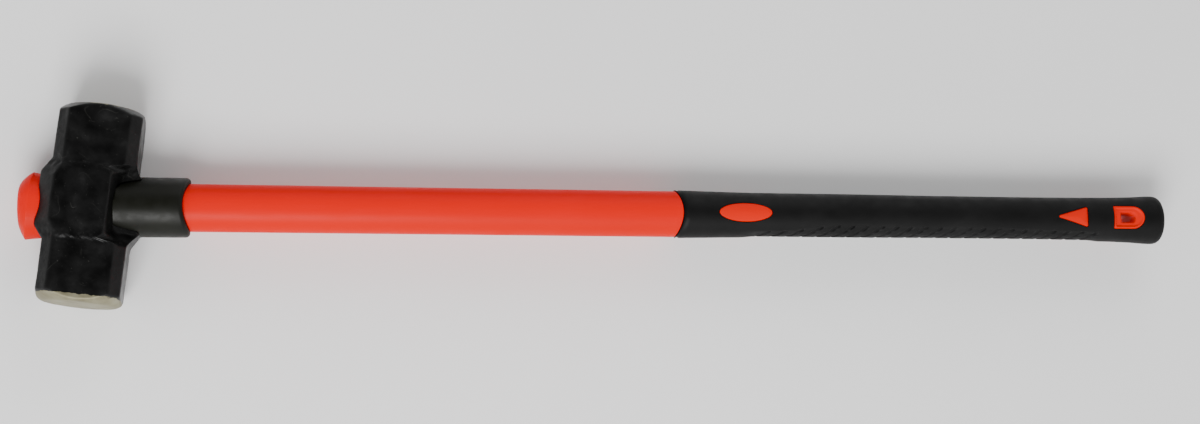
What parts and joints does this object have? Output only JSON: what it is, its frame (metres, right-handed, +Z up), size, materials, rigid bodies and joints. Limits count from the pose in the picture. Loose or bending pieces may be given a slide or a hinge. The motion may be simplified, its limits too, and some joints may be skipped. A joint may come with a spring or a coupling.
{
  "type": "sledge hammer",
  "caption": "Long-handled double-faced sledge hammer with octagonal head, orange moulded shaft, overstrike collar and rubber grip with hang slot.",
  "frame": {"origin": "under the middle of the object's box, on the surface that the head's lower cheek lies on", "axes": "+X along the handle from the head to the butt, +Z up through the head's cheeks, Y along the striking axis to within the head's 6 degree skew"},
  "size_m": [0.902, 0.1504, 0.06],
  "materials": {
    "lacquered_steel": "black lacquer over forging scale, bare ground striking faces",
    "orange_polymer": "glossy moulded",
    "orange_plug": "glossy moulded",
    "orange_inlay": "glossy moulded",
    "glass_fibre": "pultruded rod",
    "epoxy": "cast resin",
    "black_collar": "satin moulded",
    "black_rubber": "fine matte texture with slanted grooves"
  },
  "bodies": {
    "root": {"hammer_head": "lacquered_steel", "handle_jacket": "orange_polymer", "crown_plug": "orange_plug", "fibreglass_core": "glass_fibre", "eye_bond": "epoxy", "overstrike_collar": "black_collar", "rubber_grip": "black_rubber", "oval_inlay_top": "orange_inlay", "oval_inlay_bottom": "orange_inlay", "triangle_inlay_top": "orange_inlay", "triangle_inlay_bottom": "orange_inlay", "hang_eyelet": "orange_inlay"}
  },
  "joints": []
}
